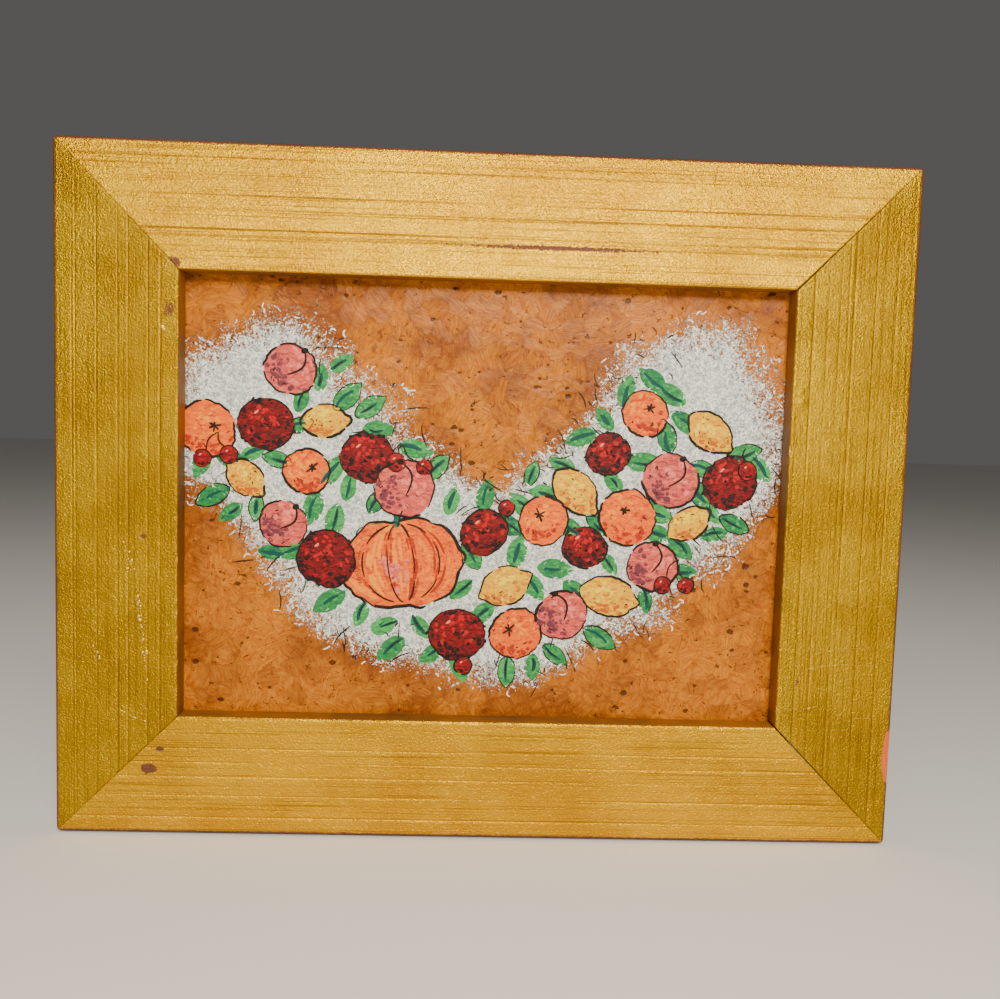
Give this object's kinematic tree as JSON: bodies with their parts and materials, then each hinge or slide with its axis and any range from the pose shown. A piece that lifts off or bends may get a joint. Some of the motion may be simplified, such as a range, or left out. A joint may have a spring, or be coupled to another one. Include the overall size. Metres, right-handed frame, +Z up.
{
  "type": "framed oil painting",
  "caption": "Small landscape-format oil painting on a thin sheet of cork in a mitred gilt wooden frame, made to hang on a wall.",
  "frame": {"origin": "on the flat back of the top rail, half way along it and half way across its back beside the rabbet", "axes": "+X to the viewer's right along the width, +Y out of the back into the wall, so that the picture faces -Y, +Z up"},
  "size_m": [0.2, 0.0158, 0.1619],
  "materials": {
    "gilt_moulding": "imitation gold leaf over red-brown bole on combed gesso, rubbed through along the arrises; bare stained wood at the back",
    "painted_board": null
  },
  "bodies": {
    "root": {"frame_top_rail": "gilt_moulding", "frame_bottom_rail": "gilt_moulding", "frame_left_stile": "gilt_moulding", "frame_right_stile": "gilt_moulding", "painted_panel": "painted_board"}
  },
  "joints": []
}
